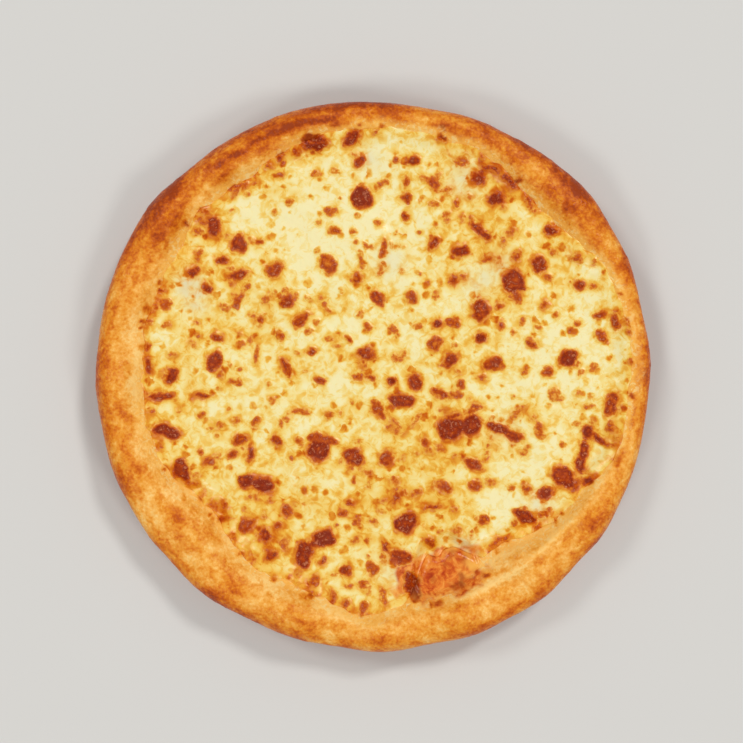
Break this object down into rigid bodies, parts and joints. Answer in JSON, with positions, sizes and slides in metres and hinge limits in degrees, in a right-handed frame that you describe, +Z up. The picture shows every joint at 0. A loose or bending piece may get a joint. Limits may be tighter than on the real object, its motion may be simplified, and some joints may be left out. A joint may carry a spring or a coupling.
{
  "type": "cheese pizza",
  "caption": "Whole round deep-pan pizza: bread crust with an uneven raised rim, tomato sauce under it all, and melted cheese with browned blisters.",
  "frame": {"origin": "centre of the crust's flat underside", "axes": "+Z up, through the thickness; -Y towards the foot of the picture, +X towards its right"},
  "size_m": [0.2513, 0.2493, 0.0279],
  "materials": {
    "crust": "baked bread, lightly oiled",
    "sauce": "wet tomato sauce",
    "cheese": "melted cheese, oily sheen"
  },
  "bodies": {
    "root": {"crust": "crust", "sauce": "sauce", "cheese": "cheese"}
  },
  "joints": []
}
